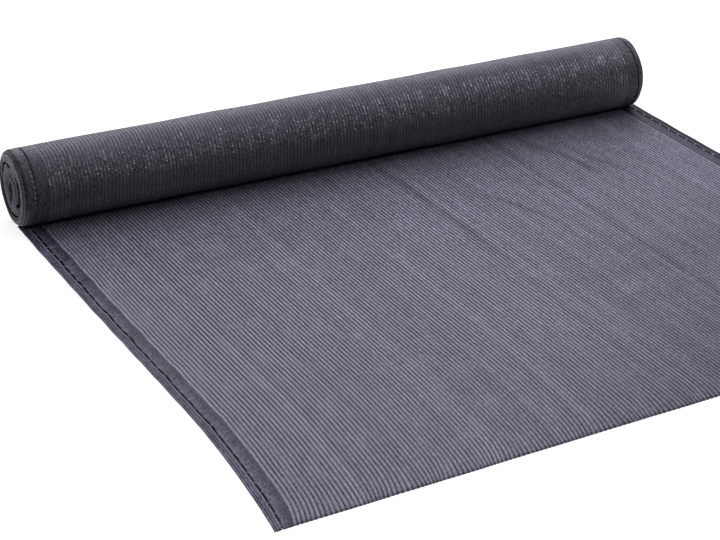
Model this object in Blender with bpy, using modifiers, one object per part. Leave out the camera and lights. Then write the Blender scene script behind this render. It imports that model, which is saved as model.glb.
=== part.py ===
"""Partly unrolled shade net: a wound roll, and its loose end laid flat in front of it.

Units are metres and +Z is up. +X runs along the roll, and +Y from the laid end toward the roll.
The origin is the middle of the net's outline, on the surface that the net lies on.

The net is knitted, with ribs along its length. They lie side by side across the laid sheet, and run
round the roll, where one is drawn for every two real ones.
"""
import math

import bmesh
import bpy

# The cloth
NET_WIDTH = 1.000
SELVEDGE_WIDTH = 0.030
RIB_COUNT = 176
RIB_PITCH = (NET_WIDTH - 2 * SELVEDGE_WIDTH) / RIB_COUNT
RIB_HEIGHT = 0.0008
GROUND_THICKNESS = 0.0012
SELVEDGE_THICKNESS = 0.0016
SLIT_ROW_INSET = 0.0125         # from the edge of the cloth to its row of buttonhole slits
SLIT_ROW_WIDTH = 0.0024
SLIT_ROW_DEPTH = 0.0006

# The laid sheet, measured from the roll's axis to the cut edge
LAID_LENGTH_LEFT = 0.864
LAID_LENGTH_RIGHT = 0.818
FLARE = 0.0185                  # how far the front left corner has drifted outward
FLARE_START = 0.598             # where the drift starts, from the roll's axis
FLARE_POWER = 1.8
FLARE_INNER = -0.170            # the cloth left of here drifts as one
FLARE_OUTER = 0.085             # and right of here not at all
ROW_SHARES = (0.0, 0.22, 0.44, 0.62, 0.74, 0.84, 0.92, 1.0)
SWELL_HEIGHT = 0.0004           # soft lengthwise swells in the laid cloth
SWELL_WIDTH = 0.150

# The roll
ROLL_RADIUS = 0.0545
ROLL_SIDES = 20
ROLL_LEFT = -0.5016             # its left end, from the middle of the cloth's width
ROLL_RIGHT = 0.4920
ROLL_RIBS = RIB_COUNT // 2
RIM_RADIUS = 0.0075
RIM_STEPS = 3
STRIP_LEFT = 0.0187             # from each end of the roll to its row of slits
STRIP_RIGHT = 0.0134
BAND_WIDTH = 0.017              # the close-knitted band between the slits and the ribs
CORE_RADIUS = 0.011
CORE_DEPTH = 0.009
GAP_WIDTH = 0.0038              # the spiral gap that shows between the wound turns at each end
GAP_DEPTH = 0.009
GAP_OUTER_RADIUS = 0.0405
GAP_INNER_RADIUS = 0.0300
GAP_TURNS = 1.05
GAP_START = math.radians(-50)   # where the gap starts: forward is zero, and up is a right angle
GAP_POINTS = 26

CLEARANCE = 0.0003              # between the roll and the sheet that leaves it
SIDE_ANGLE = 2 * math.pi / ROLL_SIDES
AXIS_HEIGHT = ROLL_RADIUS * math.cos(SIDE_ANGLE)    # the lowest two sides are pressed flat
FLAT_HALF = ROLL_RADIUS * math.sin(SIDE_ANGLE)
SIDE_SLOPE = math.tan(1.5 * SIDE_ANGLE)             # of the roll's side next to the flat spot
NET_COLOUR = (0.085, 0.085, 0.100, 1.0)


def smooth_step(value, low, high):
    """0 at low, 1 at high, with a soft start and end."""
    share = min(max((value - low) / (high - low), 0.0), 1.0)
    return share * share * (3 - 2 * share)


def drift(across, along):
    """Sideways shift of the laid cloth at a distance along it from the roll's axis."""
    share = max(along - FLARE_START, 0.0) / (LAID_LENGTH_LEFT - FLARE_START)
    spread = 1.0 - smooth_step(across, FLARE_INNER, FLARE_OUTER)
    return -FLARE * share ** FLARE_POWER * spread


def laid_length(across):
    """Distance from the roll's axis to the straight, slightly slanted cut edge."""
    share = across / NET_WIDTH + 0.5
    return LAID_LENGTH_LEFT + share * (LAID_LENGTH_RIGHT - LAID_LENGTH_LEFT)


LEFT_REACH = NET_WIDTH / 2 + FLARE
RIGHT_REACH = NET_WIDTH / 2
MIDDLE_X = (RIGHT_REACH - LEFT_REACH) / 2
MIDDLE_Y = (ROLL_RADIUS - LAID_LENGTH_LEFT) / 2


def new_object(name, mesh, collection, material=None):
    """An object for a mesh, linked to its collection."""
    if material is not None:
        mesh.materials.append(material)
    piece = bpy.data.objects.new(name, mesh)
    collection.objects.link(piece)
    return piece


def knitted_material():
    """Dull plastic tape, nearly black grey."""
    material = bpy.data.materials.new("knitted_net")
    material.use_nodes = True
    shader = material.node_tree.nodes["Principled BSDF"]
    shader.inputs["Base Color"].default_value = NET_COLOUR
    shader.inputs["Roughness"].default_value = 0.6
    shader.inputs["Metallic"].default_value = 0.0
    return material


def selvedge_section():
    """Places and heights across one selvedge, from the cloth's edge to its first rib."""
    half = SLIT_ROW_WIDTH / 2
    return [(0.0, SELVEDGE_THICKNESS),
            (SLIT_ROW_INSET - half, SELVEDGE_THICKNESS),
            (SLIT_ROW_INSET, SELVEDGE_THICKNESS - SLIT_ROW_DEPTH),
            (SLIT_ROW_INSET + half, SELVEDGE_THICKNESS)]


def sheet_section():
    """Places and heights across the whole laid sheet: a selvedge, the ribs, a selvedge."""
    half_width = NET_WIDTH / 2
    left = [(inset - half_width, height) for inset, height in selvedge_section()]
    right = [(-place, height) for place, height in reversed(left)]
    ribs = []
    for step in range(2 * RIB_COUNT + 1):
        place = SELVEDGE_WIDTH - half_width + step * RIB_PITCH / 2
        ribs.append((place, GROUND_THICKNESS + RIB_HEIGHT * (step % 2)))
    return left + ribs + right


def swell(across, share):
    """Height of the soft swells, none at the edges of the cloth or where it leaves the roll."""
    fade = math.sin(math.pi * (across / NET_WIDTH + 0.5)) * math.sin(math.pi * share)
    return SWELL_HEIGHT * fade * (1 + math.sin(2 * math.pi * across / SWELL_WIDTH))


def rear_place(height):
    """How far in front of the axis the cloth starts, at a height, beside the roll's sloping side."""
    clear = CLEARANCE * math.hypot(1, SIDE_SLOPE) / SIDE_SLOPE
    return FLAT_HALF + clear + height / SIDE_SLOPE


def sheet_point(across, height, share):
    """A point of the sheet's top, share of the way from the roll to the cut edge."""
    start = rear_place(height)
    along = start + share * (laid_length(across) - start)
    return (across + drift(across, along) - MIDDLE_X,
            -along - MIDDLE_Y,
            height + swell(across, share))


def build_laid_sheet(collection, material):
    """A grid with the ribs raised in its points, walls down to the floor, and one flat underside."""
    section = sheet_section()
    columns = len(section)
    bm = bmesh.new()
    bmesh.ops.create_grid(bm, x_segments=columns - 1, y_segments=len(ROW_SHARES) - 1, size=0.5)
    bm.verts.ensure_lookup_table()
    for number, vertex in enumerate(bm.verts):
        row, column = divmod(number, columns)
        across, height = section[column]
        vertex.co = sheet_point(across, height, ROW_SHARES[row])
    rim = [edge for edge in bm.edges if edge.is_boundary]
    walls = bmesh.ops.extrude_edge_only(bm, edges=rim)["geom"]
    tucked_y = -rear_place(0.0) - MIDDLE_Y
    rear_limit = -rear_place(2 * SELVEDGE_THICKNESS) - MIDDLE_Y
    for vertex in (item for item in walls if isinstance(item, bmesh.types.BMVert)):
        if vertex.co.y > rear_limit:
            vertex.co.y = tucked_y
        vertex.co.z = 0.0
    foot = [item for item in walls if isinstance(item, bmesh.types.BMEdge)]
    bmesh.ops.holes_fill(bm, edges=foot, sides=0)
    bmesh.ops.recalc_face_normals(bm, faces=bm.faces)
    mesh = bpy.data.meshes.new("laid_sheet")
    bm.to_mesh(mesh)
    bm.free()
    return new_object("laid_sheet", mesh, collection, material)


def end_section(strip):
    """(distance in from the roll's end, radius) from the middle of an end face to its band."""
    points = [(CORE_DEPTH, 0.0), (0.8 * CORE_DEPTH, 0.6 * CORE_RADIUS), (0.0, CORE_RADIUS)]
    for step in range(RIM_STEPS + 1):
        turn = 0.5 * math.pi * step / RIM_STEPS
        points.append((RIM_RADIUS * (1 - math.cos(turn)),
                       ROLL_RADIUS - RIM_RADIUS * (1 - math.sin(turn))))
    half = SLIT_ROW_WIDTH / 2
    points.append((strip - half, ROLL_RADIUS))
    points.append((strip, ROLL_RADIUS - SLIT_ROW_DEPTH))
    points.append((strip + half, ROLL_RADIUS))
    return points


def roll_section():
    """(x, radius) from the middle of the left end, over the rim, ribs and rim, to the right end."""
    left = [(ROLL_LEFT + inset, radius) for inset, radius in end_section(STRIP_LEFT)]
    right = [(ROLL_RIGHT - inset, radius) for inset, radius in reversed(end_section(STRIP_RIGHT))]
    first = ROLL_LEFT + STRIP_LEFT + BAND_WIDTH
    last = ROLL_RIGHT - STRIP_RIGHT - BAND_WIDTH
    ribs = []
    for step in range(2 * ROLL_RIBS + 1):
        place = first + (last - first) * step / (2 * ROLL_RIBS)
        ribs.append((place, ROLL_RADIUS - RIB_HEIGHT * (1 - step % 2)))
    return left + ribs + right


def turned_mesh(name, section):
    """The section turned once round the X axis by a Screw modifier, as a mesh."""
    outline = bpy.data.meshes.new(name + "_section")
    points = [(x, 0.0, radius) for x, radius in section]
    outline.from_pydata(points, [(i, i + 1) for i in range(len(points) - 1)], [])
    guide = bpy.data.objects.new(name + "_section", outline)
    bpy.context.scene.collection.objects.link(guide)
    screw = guide.modifiers.new("Turn", "SCREW")
    screw.axis = "X"
    screw.angle = 2 * math.pi
    screw.steps = ROLL_SIDES
    screw.render_steps = ROLL_SIDES
    screw.use_merge_vertices = True
    screw.merge_threshold = 0.00005
    bpy.context.view_layer.update()
    depsgraph = bpy.context.evaluated_depsgraph_get()
    mesh = bpy.data.meshes.new_from_object(guide.evaluated_get(depsgraph))
    mesh.name = name
    bpy.data.objects.remove(guide)
    return mesh


def spiral_cutter(name, end_x, collection):
    """A ribbon along the spiral gap, as wide as the gap is deep, thickened by Solidify."""
    mesh = bpy.data.meshes.new(name)
    points = []
    for step in range(GAP_POINTS):
        share = step / (GAP_POINTS - 1)
        radius = GAP_OUTER_RADIUS + share * (GAP_INNER_RADIUS - GAP_OUTER_RADIUS)
        turn = GAP_START - 2 * math.pi * GAP_TURNS * share
        y = -radius * math.cos(turn) - MIDDLE_Y
        z = radius * math.sin(turn) + AXIS_HEIGHT
        points.append((end_x - GAP_DEPTH, y, z))
        points.append((end_x + GAP_DEPTH, y, z))
    faces = [(i, i + 1, i + 3, i + 2) for i in range(0, len(points) - 2, 2)]
    mesh.from_pydata(points, [], faces)
    cutter = new_object(name, mesh, collection)
    wall = cutter.modifiers.new("Gap", "SOLIDIFY")
    wall.thickness = GAP_WIDTH
    wall.offset = 0.0
    cutter.hide_render = True
    cutter.display_type = "WIRE"
    return cutter


def build_wound_roll(collection, cutters, material):
    """The turned roll, flat where it rests, with the spiral gap of its turns cut in both ends."""
    mesh = turned_mesh("wound_roll", roll_section())
    bm = bmesh.new()
    bm.from_mesh(mesh)
    for vertex in bm.verts:
        vertex.co.x -= MIDDLE_X
        vertex.co.y -= MIDDLE_Y
        vertex.co.z += AXIS_HEIGHT
        if vertex.co.z < 1.2 * RIB_HEIGHT:
            vertex.co.z = 0.0
    bmesh.ops.recalc_face_normals(bm, faces=bm.faces)
    bm.to_mesh(mesh)
    bm.free()
    roll = new_object("wound_roll", mesh, collection, material)
    for side, end_x in (("left", ROLL_LEFT), ("right", ROLL_RIGHT)):
        cut = roll.modifiers.new("Gap " + side, "BOOLEAN")
        cut.operation = "DIFFERENCE"
        cut.solver = "EXACT"
        cut.object = spiral_cutter("gap_" + side, end_x - MIDDLE_X, cutters)
    return roll


def build():
    """Clears the scene and makes the net."""
    for item in list(bpy.data.objects):
        bpy.data.objects.remove(item)
    collection = bpy.data.collections.new("shade_net")
    cutters = bpy.data.collections.new("cutters")
    bpy.context.scene.collection.children.link(collection)
    bpy.context.scene.collection.children.link(cutters)
    material = knitted_material()
    build_wound_roll(collection, cutters, material)
    build_laid_sheet(collection, material)


build()
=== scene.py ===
"""Looks of the partly unrolled shade net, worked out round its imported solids.

The net is one knitted cloth. Across it lie a selvedge, 176 ribs and a selvedge, and every pattern
follows two coordinates that each piece carries in its UV map, counted in rib pitches: the place across
the cloth, 0 where its ribs begin and 176 where they end, and the place along it, from the roll's axis on
the laid cloth and from the roll's front on the wound one. A thread has the share round it as its first.
"""
import math

import bmesh
import bpy
import numpy as np
from bpy.props import FloatProperty, FloatVectorProperty, IntProperty, PointerProperty
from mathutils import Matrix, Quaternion, Vector


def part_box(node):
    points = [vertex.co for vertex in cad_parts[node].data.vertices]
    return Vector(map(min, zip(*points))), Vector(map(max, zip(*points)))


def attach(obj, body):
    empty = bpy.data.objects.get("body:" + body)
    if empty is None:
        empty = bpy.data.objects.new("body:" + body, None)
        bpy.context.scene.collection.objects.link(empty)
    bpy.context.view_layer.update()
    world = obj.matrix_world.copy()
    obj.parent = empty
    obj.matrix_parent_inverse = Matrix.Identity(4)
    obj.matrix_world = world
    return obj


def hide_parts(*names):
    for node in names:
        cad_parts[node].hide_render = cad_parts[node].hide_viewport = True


bl_info = {
    "name": "Shade net",
    "version": (1, 0, 0),
    "blender": (4, 5, 0),
    "location": "3D View > Sidebar > Shade net",
    "description": "Makes a partly unrolled knitted shade net and its studio",
    "category": "Object",
}

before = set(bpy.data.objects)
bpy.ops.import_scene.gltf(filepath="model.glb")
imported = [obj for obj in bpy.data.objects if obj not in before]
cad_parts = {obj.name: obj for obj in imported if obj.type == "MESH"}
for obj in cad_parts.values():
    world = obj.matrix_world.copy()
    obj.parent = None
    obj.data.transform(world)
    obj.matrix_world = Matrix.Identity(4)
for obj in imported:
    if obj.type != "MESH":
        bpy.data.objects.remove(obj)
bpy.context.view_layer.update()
SHEET_LOW, SHEET_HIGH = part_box("laid_sheet")
ROLL_LOW, ROLL_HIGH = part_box("wound_roll")
BODY = "root"

NET_WIDTH = 1.000
SELVEDGE = 0.030
RIB_COUNT = 176
PITCH = (NET_WIDTH - 2 * SELVEDGE) / RIB_COUNT
STRIP = SELVEDGE / PITCH                    # width of a selvedge in rib pitches
RIGHT_EDGE = SHEET_HIGH[0]
MIDDLE_X = RIGHT_EDGE - NET_WIDTH / 2       # x of the middle of the cloth's width
ROLL_RADIUS = 0.0536
ROLL_AXIS_Y = (ROLL_LOW[1] + ROLL_HIGH[1]) / 2
ROLL_AXIS_Z = 0.0530
LAID_LEFT = ROLL_AXIS_Y - SHEET_LOW[1]      # the roll's axis to the cut edge, at the left edge
END_SLANT = 0.046                           # how much shorter the laid cloth is at its right edge
LAID_RIGHT = LAID_LEFT - END_SLANT
LAID_START = 0.0105                         # the roll's axis to where the laid cloth starts

# Outward drift of the front left corner: how far, its start from the roll's axis, its power, and the two
# places across the cloth between which it fades
FLARE = MIDDLE_X - NET_WIDTH / 2 - SHEET_LOW[0]
FLARE_START = 0.598
FLARE_POWER = 1.8
FLARE_INNER = -0.170
FLARE_OUTER = 0.085
CLOTH_EDGE = NET_WIDTH / 2 / PITCH          # middle of the cloth's width to its edge, in pitches

# Selvedge, in rib pitches from the edge of the cloth
SLIT_INSET = 2.35
SLIT_PITCH = 4.18
SLIT_SHARE = 0.85
FINE_PITCH = 0.55

# Roll, in pitches from each of its ends
ROLL_LEFT = ROLL_LOW[0] / PITCH
ROLL_RIGHT = ROLL_HIGH[0] / PITCH
RIM = 1.5
STRIP_LEFT = 3.5
STRIP_RIGHT = 2.5
BAND = STRIP - SLIT_INSET
RADIUS = ROLL_RADIUS / PITCH
AXIS = ROLL_AXIS_Z / PITCH


class NetSizes(bpy.types.PropertyGroup):
    """Sizes of the net that a user would change."""
    rib_height: FloatProperty(
        name="Rib height", description="Height of a rib over the ground of the knit",
        default=0.0008, min=0.0, max=0.003, unit="LENGTH", precision=4)
    thickness: FloatProperty(
        name="Thickness", description="Thickness of the knit under its ribs",
        default=0.0009, min=0.0003, max=0.002, unit="LENGTH", precision=4)
    slit_width: FloatProperty(
        name="Slit width", description="Widest part of a buttonhole slit",
        default=0.0024, min=0.0005, max=0.004, unit="LENGTH", precision=4)
    ripple: FloatProperty(
        name="Ripple", description="Height of the ripples along the left selvedge",
        default=0.0028, min=0.0, max=0.005, unit="LENGTH", precision=4)
    rows: IntProperty(
        name="Rows", description="Rows of points along the laid ribs",
        default=58, min=10, max=70)
    sides: IntProperty(
        name="Sides", description="Points round the roll",
        default=112, min=40, max=116)


class NetColours(bpy.types.PropertyGroup):
    """Colours of the net that a user would change."""
    rib: FloatVectorProperty(
        name="Ribs", description="Plastic tape on the ribs", subtype="COLOR",
        size=3, default=(0.205, 0.204, 0.263), min=0.0, max=1.0)
    groove: FloatVectorProperty(
        name="Grooves", description="Shaded knit between the ribs", subtype="COLOR",
        size=3, default=(0.036, 0.035, 0.050), min=0.0, max=1.0)
    band: FloatVectorProperty(
        name="Selvedge", description="Close-knitted selvedge band", subtype="COLOR",
        size=3, default=(0.088, 0.085, 0.126), min=0.0, max=1.0)
    thread: FloatVectorProperty(
        name="Thread", description="Bright chain thread beside the slits", subtype="COLOR",
        size=3, default=(0.440, 0.440, 0.540), min=0.0, max=1.0)


def smooth_step(value, low, high):
    """0 at low and 1 at high, along 3s^2 - 2s^3."""
    share = np.clip((value - low) / (high - low), 0.0, 1.0)
    return share * share * (3 - 2 * share)


def smooth_fall(value, low, high):
    """1 at low and 0 at high: one less the smooth step."""
    return 1 - smooth_step(value, low, high)


def bell(value, middle, half):
    """1 in the middle and 1/e at half on both sides of it: exp(-((value - middle) / half)^2)."""
    return np.exp(-((value - middle) / half) ** 2)


def soft_noise(seed, x, y, scale, terms=7):
    """A sum of a few plane waves of random direction and phase, about scale long, mostly -1 to 1."""
    rng = np.random.default_rng(seed)
    total = np.zeros(np.broadcast(x, y).shape)
    for _ in range(terms):
        angle = rng.uniform(0, 2 * math.pi)
        length = scale * rng.uniform(0.7, 1.6)
        wave = (x * math.cos(angle) + y * math.sin(angle)) * 2 * math.pi / length
        total = total + np.sin(wave + rng.uniform(0, 2 * math.pi))
    return total / terms ** 0.5 / 1.6


def drift(across, along):
    """Sideways shift of the laid cloth: a power of the length past the start, fading to the right."""
    share = np.maximum(along - FLARE_START, 0.0) / (LAID_LEFT - FLARE_START)
    return -FLARE * share ** FLARE_POWER * smooth_fall(across, FLARE_INNER, FLARE_OUTER)


# Sideways wander of the laid cloth, in pitches: of its ribs and of its left edge, how far its left side
# has spread, and the share of that spread which the outermost edge follows
RIB_WANDER = 0.22
EDGE_WANDER = 0.05
LEFT_SPREAD = 0.45
EDGE_FOLLOWS = 0.4


def swung_sine(y, length, swing, swing_length):
    """A sine over y of the given length, its phase swung by a slower sine."""
    return np.sin(2 * math.pi * y / length + swing * np.sin(y / swing_length))


def wander(across, along):
    """Small sideways shifts: the laid ribs' wander, the left side's spread and its uneven outline.

    Soft noise moves the ribs past the roll, and two swung sines move the left edge. The spread grows
    along the cloth and toward its left side. The bend before the cut end is added to them.
    """
    x = across / PITCH
    y = along / PITCH
    ribs = RIB_WANDER * soft_noise(41, x, y / 3.0, 45.0) * smooth_step(y, 3.0, 20.0)
    edge = swung_sine(y, 11.6, 1.4, 18.0) * (0.6 + 0.4 * np.sin(y / 29.0))
    edge = edge + 0.25 * swung_sine(y, 5.3, 2.0, 11.0)
    left = smooth_fall(x + CLOTH_EDGE, 0.8, 5.0)
    spread = smooth_fall(x, -86.0, -62.0) * smooth_step(y, 15.0, 60.0)
    spread = spread * (EDGE_FOLLOWS + (1 - EDGE_FOLLOWS) * smooth_step(x, -93.6, -91.3))
    return (ribs + EDGE_WANDER * edge * left - LEFT_SPREAD * spread) * PITCH + end_bend(across, along)


def laid_length(across):
    """Length from the roll's axis to the straight, slightly slanted cut edge."""
    return LAID_LEFT + (across / NET_WIDTH + 0.5) * (LAID_RIGHT - LAID_LEFT)


# Bend of the ribs to the left at the cut end, how much it varies among them, and its length, in pitches
END_BEND = 0.80
END_BEND_SWING = 0.45
END_BEND_LENGTH = 10.0


def end_bend(across, along):
    """Sideways bend of the ribs before the cut end: their uneven bend times the length's share squared."""
    x = across / PITCH
    share = np.clip(1 - (laid_length(across) - along) / PITCH / END_BEND_LENGTH, 0.0, 1.0)
    amount = END_BEND - END_BEND_SWING * np.sin(x / 2.6 + 1.2 * np.sin(x / 9.0))
    inside = smooth_step(x, -94.0, -87.0) * smooth_fall(x, 84.0, 92.0)
    return -amount * inside * share ** 2 * PITCH


# Soft creases of the laid cloth, in pitches from the middle of its width and from the roll's axis:
# start, end, sideways bow, width, height, and their painted light and shade, as how much lighter or
# darker they are
CREASES = (
    (50.0, 13, 57.0, 43, 1.2, 1.0, 0.06, -0.36),
    (58.6, 27, 64.0, 44, 0.6, 1.0, 0.05, -0.32),
    (19.2, 36, 30.6, 67, 1.6, 1.0, 0.06, -0.36),
    (5.8, 10, 7.0, 80, 0.4, 1.0, -0.08, -0.36),
    (41.2, -30, 41.3, 160, -0.3, 1.1, -0.09, 0.0),
    (-2, 84, 20, 95, -1.5, 3.0, 0.08, -0.05),
    (14, 96, 46, 95, 1.0, 1.6, 0.05, -0.08),
    (14, 102, 42, 103, 0.0, 2.4, 0.08, 0.07),
    (16, 107, 40, 108, -1.0, 3.0, 0.06, -0.05),
    (-80, 126, 40, 129, 0.0, 4.0, 0.05, -0.03),
    (-30, 148, 5, 146, 2.0, 5.0, 0.06, -0.04),
    (-24, 156, 18, 153, 0.0, 4.0, 0.0, -0.10),
)
# Ribs painted a little lighter or darker over the whole length, the painted light and shade of shallow
# lengthwise creases: place, half width and change of tone
STREAKS = (
    (-79.0, 0.8, 0.05), (-73.0, 1.2, 0.03), (-64.5, 0.9, 0.06), (-60.0, 1.5, -0.05), (-46.9, 0.9, -0.11),
    (-44.9, 0.9, 0.07), (-40.4, 0.9, 0.20), (-38.0, 1.4, -0.06), (-26.9, 0.9, -0.08), (-24.9, 0.9, 0.08),
    (-17.2, 1.6, 0.05), (-10.5, 1.4, -0.06), (-3.2, 1.4, 0.07), (3.1, 1.0, 0.06), (9.1, 0.8, 0.17),
    (12.6, 1.1, 0.05), (40.1, 0.8, 0.18), (41.8, 0.9, -0.20), (44.2, 0.9, 0.06), (55.4, 1.0, -0.06),
    (65.2, 1.0, 0.06), (77.0, 1.2, 0.08),
)


def crease_bells(across, along):
    """For each crease a bell across its bowed line, faded at both ends, with its height and painted tone."""
    x = across / PITCH
    y = along / PITCH
    for x0, y0, x1, y1, bow, width, height, tone in CREASES:
        dx = x1 - x0
        dy = y1 - y0
        length = math.hypot(dx, dy)
        share = ((x - x0) * dx + (y - y0) * dy) / length ** 2
        side = ((x - x0) * dy - (y - y0) * dx) / length
        side = side - bow * 4 * share * (1 - share)
        fade = smooth_step(share, -0.1, 0.3) * smooth_fall(share, 0.7, 1.1)
        yield fade * bell(side, 0.0, width), height, tone


def crease_height(across, along):
    """Sum of the creases' ridges and troughs."""
    return sum(height * crease for crease, height, _ in crease_bells(across, along)) * PITCH


# Painted light and shade on the laid ribs, as changes of tone: the roll's painted shadow before it,
# painted light right at its foot, and painted shade at the right side and at the front right
BEFORE_ROLL = -0.15
AT_FOOT = 0.12
AT_RIGHT = -0.12
AT_FRONT_RIGHT = -0.17


def rib_shade(across, along):
    """Painted light and shade of the laid ribs: 1 plus the change of each crease, streak and part of the
    sheet, multiplied.
    """
    x = across / PITCH
    y = along / PITCH
    tone = np.ones(np.broadcast(across, along).shape)
    for crease, _, change in crease_bells(across, along):
        tone = tone * (1 + change * crease)
    for place, half, change in STREAKS:
        tone = tone * (1 + change * bell(x, place, half))
    near = smooth_fall(y, 14.0, 27.0)
    foot = smooth_step(x, -75.0, -45.0) * smooth_fall(y, 14.5, 18.0)
    right = smooth_step(x, -5.0, 45.0) * smooth_step(y, 55.0, 95.0)
    front = smooth_step(x, -40.0, 20.0) * smooth_step(y, 105.0, 150.0)
    tone = tone * (1 + BEFORE_ROLL * near + AT_FOOT * foot)
    return tone * (1 + AT_RIGHT * right) * (1 + AT_FRONT_RIGHT * front)


# Puckers of the left selvedge: place along it in pitches from the roll's axis, share of the ripples'
# full height, and how dark the painted shade on their hollow side is
PUCKERS = (
    (8.5, 0.5, 0.20), (15.5, 0.7, 0.45), (21.0, 0.5, 0.25), (27.0, 1.0, 0.55), (34.0, 0.3, 0.10),
    (40.5, 1.0, 0.55), (49.0, 0.4, 0.15), (58.0, 0.9, 0.45), (64.0, 0.3, 0.10), (70.7, 0.9, 0.40),
    (81.0, 0.4, 0.15), (92.0, 0.8, 0.35), (104.0, 0.3, 0.10), (117.0, 0.7, 0.30), (133.0, 0.3, 0.10),
    (147.0, 0.5, 0.15),
)


# How far the ripples and the painted shade of their hollows slant along the cloth for each pitch of
# inset, and how far past a pucker's place each of them lies
RIPPLE_SLANT = 0.4
RIPPLE_SHIFT = 3.0
HOLLOW_SLANT = 0.5
HOLLOW_SHIFT = 2.2
HOLLOW_INSET = 4.3


def ripple_height(across, along, height):
    """Ripples of the left selvedge: a slanting bell for each pucker, fading into the ribs."""
    inset = across / PITCH + CLOTH_EDGE
    y = along / PITCH + RIPPLE_SLANT * inset
    shape = smooth_step(inset, -1.0, 3.4) * smooth_fall(inset, 5.0, 13.0)
    return height * shape * sum(share * bell(y, place + RIPPLE_SHIFT, 2.6) for place, share, _ in PUCKERS)


def pucker_shade(inset, along):
    """Painted shade of the left selvedge: a dark bell in the hollow beside each pucker, next to the ribs."""
    y = along / PITCH + HOLLOW_SLANT * inset
    tone = np.ones(np.broadcast(inset, along).shape)
    for place, _, dark in PUCKERS:
        tone = tone * (1 - dark * bell(y, place + HOLLOW_SHIFT, 1.4) * bell(inset, HOLLOW_INSET, 1.3))
    return tone


SWELL_HEIGHT = 0.0007                       # low swells of the laid sheet
RIGHT_RIPPLE = 0.0005                       # ripple of its right selvedge


def ease_height(across, along):
    """Swells of the sheet, soft noise past the roll, and a sine along its right selvedge."""
    swell = (0.5 + 0.5 * soft_noise(11, across, along * 0.6, 0.16)) * smooth_step(along, 0.02, 0.12)
    inset = CLOTH_EDGE - across / PITCH
    right = smooth_fall(inset, 1.0, 6.0) * (0.5 + 0.5 * np.sin(along / PITCH / 2.3))
    return SWELL_HEIGHT * swell + RIGHT_RIPPLE * right


END_DROP = 0.0008                           # how far the upper face is pressed down at the cut end
END_DROP_LENGTH = 0.010


def laid_points(across, along, height, sizes):
    """Places of points of the laid cloth, from their place across and along it and their height.

    The sideways shifts are added to x. The swells, creases and ripples are added to the height, and
    the drop of the cut end is taken off it.
    """
    x = across + drift(across, along) + wander(across, along)
    z = height + ease_height(across, along) + crease_height(across, along)
    z = z + ripple_height(across, along, sizes.ripple)
    z = z - END_DROP * smooth_fall(laid_length(across) - along, 0.0, END_DROP_LENGTH)
    return np.stack([x + MIDDLE_X, ROLL_AXIS_Y - along, z], -1)


def grid_faces(rows, columns, wrap=False, keep=None):
    """Quads of a grid of points, row by row; wrap joins the last row to the first, keep picks some."""
    row = np.arange(rows if wrap else rows - 1)[:, None]
    column = np.arange(columns - 1)[None, :]
    here = row * columns + column
    there = (row + 1) % rows * columns + column
    faces = np.stack([here, here + 1, there + 1, there], -1)
    if keep is not None:
        return faces[keep]
    return faces.reshape(-1, 4)


def mesh_piece(name, points, faces, uv, materials, face_material=None, shade=None):
    """A mesh object at the origin, with its pattern coordinates in the UV map called net.

    Shade is a factor of tone for each point, the painted light and shade, kept as an attribute.
    """
    mesh = bpy.data.meshes.new(name)
    faces = np.asarray(faces, dtype=np.int32)
    mesh.vertices.add(len(points))
    mesh.vertices.foreach_set("co", np.asarray(points, dtype=np.float32).ravel())
    mesh.loops.add(faces.size)
    mesh.loops.foreach_set("vertex_index", faces.ravel())
    mesh.polygons.add(len(faces))
    mesh.polygons.foreach_set("loop_start", np.arange(len(faces), dtype=np.int32) * faces.shape[1])
    mesh.update(calc_edges=True)
    layer = mesh.uv_layers.new(name="net")
    layer.data.foreach_set("uv", np.asarray(uv, dtype=np.float32)[faces.ravel()].ravel())
    for material in materials:
        mesh.materials.append(material)
    if face_material is not None:
        mesh.polygons.foreach_set("material_index", np.asarray(face_material, dtype=np.int32))
    mesh.polygons.foreach_set("use_smooth", np.full(len(faces), True))
    if shade is not None:
        attribute = mesh.attributes.new("shade", "FLOAT", "POINT")
        attribute.data.foreach_set("value", np.asarray(shade, dtype=np.float32).ravel())
    mesh.validate()
    piece = bpy.data.objects.new(name, mesh)
    bpy.context.scene.collection.objects.link(piece)
    return piece


def close_poles(piece):
    """Merges the points that lie on each other, such as those of an end's middle."""
    mesh = bmesh.new()
    mesh.from_mesh(piece.data)
    bmesh.ops.remove_doubles(mesh, verts=mesh.verts, dist=0.000001)
    mesh.to_mesh(piece.data)
    mesh.free()


def thicken(piece, thickness):
    """Gives a sheet its thickness below its upper face."""
    wall = piece.modifiers.new("Thickness", "SOLIDIFY")
    wall.thickness = thickness
    wall.offset = -1.0
    wall.use_even_offset = False


# Nodes of the materials

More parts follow.
